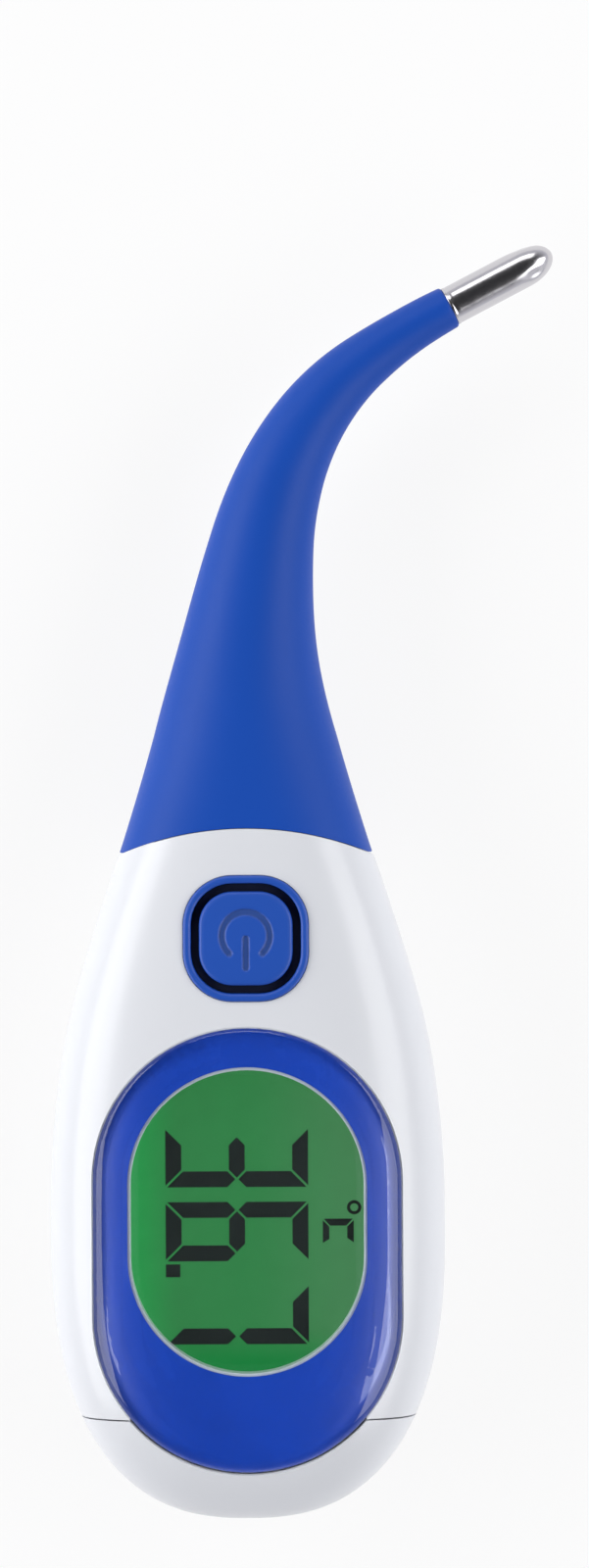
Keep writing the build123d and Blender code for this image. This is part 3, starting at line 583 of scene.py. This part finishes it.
# Liquid crystal bars: almost black with the green of the cell in them.
crystal_dark = moulded("dark_liquid_crystal", "#08120f", 0.4, 0.3, 0.0005)
figure_tall, figure_wide, bar_wide, bar_gap = 14.4, 6.0, 1.6, 0.16
lit_bars = {"3": "abcdg", "6": "acdefg", "7": "abc"}
mid, half_bar = figure_tall / 2, bar_wide / 2
right_bar = [(figure_wide, figure_tall - bar_gap), (figure_wide - bar_wide, figure_tall - bar_wide - bar_gap),
             (figure_wide - bar_wide, mid + half_bar + bar_gap), (figure_wide - half_bar, mid + bar_gap),
             (figure_wide, mid + half_bar + bar_gap)]
top_bar = [(bar_gap, figure_tall), (bar_wide + bar_gap, figure_tall - bar_wide),
           (figure_wide - bar_wide - bar_gap, figure_tall - bar_wide), (figure_wide - bar_gap, figure_tall)]
bar_shapes = {
    "a": top_bar, "d": [(u, figure_tall - v) for u, v in top_bar],
    "b": right_bar, "c": [(u, figure_tall - v) for u, v in right_bar],
    "f": [(figure_wide - u, v) for u, v in right_bar],
    "e": [(figure_wide - u, figure_tall - v) for u, v in right_bar],
    "g": [(half_bar + bar_gap, mid), (bar_wide + bar_gap, mid + half_bar),
          (figure_wide - bar_wide - bar_gap, mid + half_bar), (figure_wide - half_bar - bar_gap, mid),
          (figure_wide - bar_wide - bar_gap, mid - half_bar), (bar_wide + bar_gap, mid - half_bar)],
}
# the figures stand with their tops towards +X and read towards the housing's tail
figure_foot, figure_lefts = -8.25, {"3": 10.2, "6": 2.7, "7": -5.7}
outlines = []
for figure, left in figure_lefts.items():
    outlines += [[(figure_foot + v, left - u) for u, v in bar_shapes[bar]] for bar in lit_bars[figure]]
point_left, point_tall, point_wide = -3.6, 1.45, 1.3
outlines.append([(figure_foot, point_left), (figure_foot + point_tall, point_left),
                 (figure_foot + point_tall, point_left - point_wide), (figure_foot, point_left - point_wide)])
# the degree mark, and a C made of three bars
degree_x, degree_y = 10.75, 2.1
ring_steps = [2 * math.pi * k / 24 for k in range(24)]
for a, b in zip(ring_steps, ring_steps[1:] + ring_steps[:1]):
    outlines.append([(degree_x + r * math.cos(t), degree_y + r * math.sin(t))
                     for r, t in ((0.40, a), (0.72, a), (0.72, b), (0.40, b))])
outlines += [[(7.7, 0.95), (10.6, 0.95), (9.95, 0.25), (8.35, 0.25)],
             [(10.7, 0.8), (10.7, -1.45), (10.05, -1.0), (10.05, 0.15)],
             [(7.6, 0.8), (8.25, 0.15), (8.25, -1.1), (7.6, -1.5)]]
points, faces = [], []
for outline in outlines:
    area = sum(x0 * y1 - x1 * y0 for (x0, y0), (x1, y1) in zip(outline, outline[1:] + outline[:1]))
    ordered = outline if area > 0 else outline[::-1]
    faces.append(tuple(range(len(points), len(points) + len(ordered))))
    points += [(x / 1000, y / 1000, face_z + 0.00008) for x, y in ordered]
mesh = bpy.data.meshes.new("display_figures")
mesh.from_pydata(points, [], faces)
mesh.materials.append(crystal_dark)
figures = bpy.data.objects.new("display_figures", mesh)
bpy.context.scene.collection.objects.link(figures)
thick = figures.modifiers.new("layer", "SOLIDIFY")
thick.thickness = 0.00006
thick.offset = -1
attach(figures, "housing")
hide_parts("lcd_digits")


# ------------------------------------------------------------------ power button
# A blue moulded ring round a softly sprung blue cap, with a rubber skirt in the gap between them, coloured near-black
# navy as painted shade of the deep gap.
# The stand-by mark is sunk in the cap's top, and its sunk faces are coloured a darker, greyer blue as painted shade
# in the recess.
button_y = 29.45
# Soft-touch blue plastic, a shade greyer than the stem, with a fine matt grain.
blue_button = moulded("matt_blue_button_plastic", "#1d4fb0", 0.42, 0.3, 0.005)
# Darker, greyer blue for the mark's sunk faces: painted shade in the recess.
mark_painted_shade = moulded("mark_painted_shade_blue", "#24478f", 0.5, 0.3, 0.005)
# Near-black navy for the skirt: painted shade of the deep gap round the cap.
skirt_painted_shade = moulded("skirt_rubber_painted_shade", "#0a1838", 0.6, 0.4, 0.01)


def rounded_outline(size, corner, count=12, runs=30):
    """Points round a square with rounded corners, centred on the button, in mm."""
    half = size / 2 - corner
    points = []
    for k, (sx, sy) in enumerate(((1, 1), (-1, 1), (-1, -1), (1, -1))):
        for j in range(count + 1):
            a = math.pi / 2 * (k + j / count)
            points.append((sx * half + corner * math.cos(a), sy * half + corner * math.sin(a)))
        nx, ny = ((-1, 1), (-1, -1), (1, -1), (1, 1))[k]
        last = points[-1]
        goal_a = math.pi / 2 * (k + 1)
        goal = (nx * half + corner * math.cos(goal_a), ny * half + corner * math.sin(goal_a))
        points += [(last[0] + (goal[0] - last[0]) * j / runs, last[1] + (goal[1] - last[1]) * j / runs)
                   for j in range(1, runs)]
    return points


def button_ring_row(size, corner, inset, sink=None):
    row = []
    for x, y in rounded_outline(size, corner):
        z = front_height(x, y + button_y, inset)
        if sink:
            z -= sink(x, y)
        row.append(Vector((x, y + button_y, z)) / 1000)
    return row


# size, corner and inset of each row, from the ring's foot over its rounded top and down its inner wall
bezel_profile = ((12.7, 5.0, 1.6), (12.7, 5.0, -0.10), (12.62, 4.96, -0.2), (12.4, 4.85, -0.28), (12.1, 4.7, -0.3),
                 (11.6, 4.45, -0.28), (11.3, 4.3, -0.2), (11.12, 4.21, -0.08), (11.1, 4.2, 1.5))
ring = tube("button_bezel", [button_ring_row(*row) for row in bezel_profile], material=blue_button)
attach(ring, "housing")
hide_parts("button_ring")


mark_shift, mark_sunk, mark_edge = 0.25, 0.17, 0.16
bar_drop, bar_half = 1.75, 1.45


def mark_depth(x, y):
    """How deep the stand-by mark is sunk at a place on the cap: a ring open at the bottom, and a bar in the gap."""
    ring_radius, line, gap = 2.42, 0.33, math.radians(45)
    u, v = x, y - mark_shift
    angle = math.atan2(u, -v)
    off_ring = abs(math.hypot(u, v) - ring_radius)
    if abs(angle) < gap:
        end_u, end_v = math.copysign(ring_radius * math.sin(gap), u), -ring_radius * math.cos(gap)
        off_ring = math.hypot(u - end_u, v - end_v)
    along_bar = v + bar_drop
    off_bar = math.hypot(u, along_bar - max(-bar_half, min(bar_half, along_bar)))
    off = min(off_ring, off_bar)
    return mark_sunk * smooth((line + mark_edge / 2 - off) / mark_edge)


cap_profile = ((9.45, 3.4, 1.2), (9.45, 3.4, 0.0), (9.38, 3.36, -0.12), (9.2, 3.28, -0.23), (8.95, 3.15, -0.28),
               (8.6, 3.0, -0.29))
cap_rows = [button_ring_row(*row) for row in cap_profile]
steps = 64
for k in range(1, steps):
    share = 1 - k / steps
    cap_rows.append(button_ring_row(cap_profile[-1][0] * share, cap_profile[-1][1] * share, -0.30, mark_depth))
cap = tube("button_cap_top", cap_rows, cap_last=True, material=blue_button)
# a second slot with the darker blue, taken by faces sunk deeper than 0.12 mm: painted shade in the recess
cap.data.materials.append(mark_painted_shade)
for face in cap.data.polygons:
    x, y, _ = face.center * 1000
    if face.index > len(cap_profile) * len(cap_rows[0]) and mark_depth(x, y - button_y) > 0.12:
        face.material_index = 1
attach(cap, "button")
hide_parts("button_cap")


# ------------------------------------------------------------------ inside the housing
# Board, cell, buzzer and their small parts, which only show when the end cap is off.
# Each has the finish of what it is made of, except that the button's skirt is coloured near-black navy as painted
# shade, and the light guide green as painted glow.
inside = {
    # green solder mask over glass-fibre laminate
    "circuit_laminate": moulded("green_solder_mask", "#2f6b3c", 0.35, 0.6, 0.01),
    # epoxy moulded round the chips, slightly grainy
    "black_epoxy": moulded("moulded_black_epoxy", "#1b1b1d", 0.55, 0.3, 0.01),
    # fired ceramic, pale brown and dull
    "ceramic_parts": moulded("fired_ceramic", "#b59a72", 0.6, 0.4, 0.01),
    "white_film": moulded("white_reflector_film", "#f0f0ee", 0.5, 0.5, 0.002),
    # the light guide takes the green of the lit display as its colour: painted glow, though it is no lamp
    "light_guide_green": moulded("light_guide_painted_green_glow", "#2c994b", 0.3, 0.8, 0.002),
    "lcd_glass": moulded("thin_cell_glass", "#a9cfb2", 0.08, 1.0, 0.0002),
    "natural_nylon": moulded("natural_moulded_nylon", "#dcdcd4", 0.5, 0.4, 0.006),
    "black_rubber": black_foam,
    "seal_silicone": moulded("grey_moulded_silicone", "#8d9196", 0.65, 0.4, 0.008),
    "lead_insulation": moulded("enamelled_lead_wire", "#d9d2c4", 0.35, 0.3, 0.003),
    "sensor_epoxy": moulded("cured_sensor_epoxy", "#2d2a26", 0.3, 0.5, 0.004),
    "polariser_film": cell, "lcd_dark": crystal_dark, "blue_print": blue_ink, "silver_frame": silver_paint,
    "navy_membrane": skirt_painted_shade, "blue_button": blue_button, "white_abs": white_abs,
    "blue_stem_rubber": blue_elastomer, "clear_acrylic": clear_acrylic, "plated_metal": polished_plate,
}
# Rolled steel and brass: metals with a fine rolled grain.
for metal_slot, metal_name, colour in (("steel", "rolled_stainless_steel", "#b9bcc0"),
                                       ("brass", "rolled_brass", "#c9a45a")):
    metal = moulded(metal_name, colour, 0.3, 0.3, 0.003)
    metal.node_tree.nodes["Principled BSDF"].inputs["Metallic"].default_value = 1.0
    inside[metal_slot] = metal
for entry in frame["record"]["subparts"]:
    carried = frame["nodes"][entry["node"]]
    carried.data.materials.clear()
    carried.data.materials.append(inside[entry["material_slot"]])
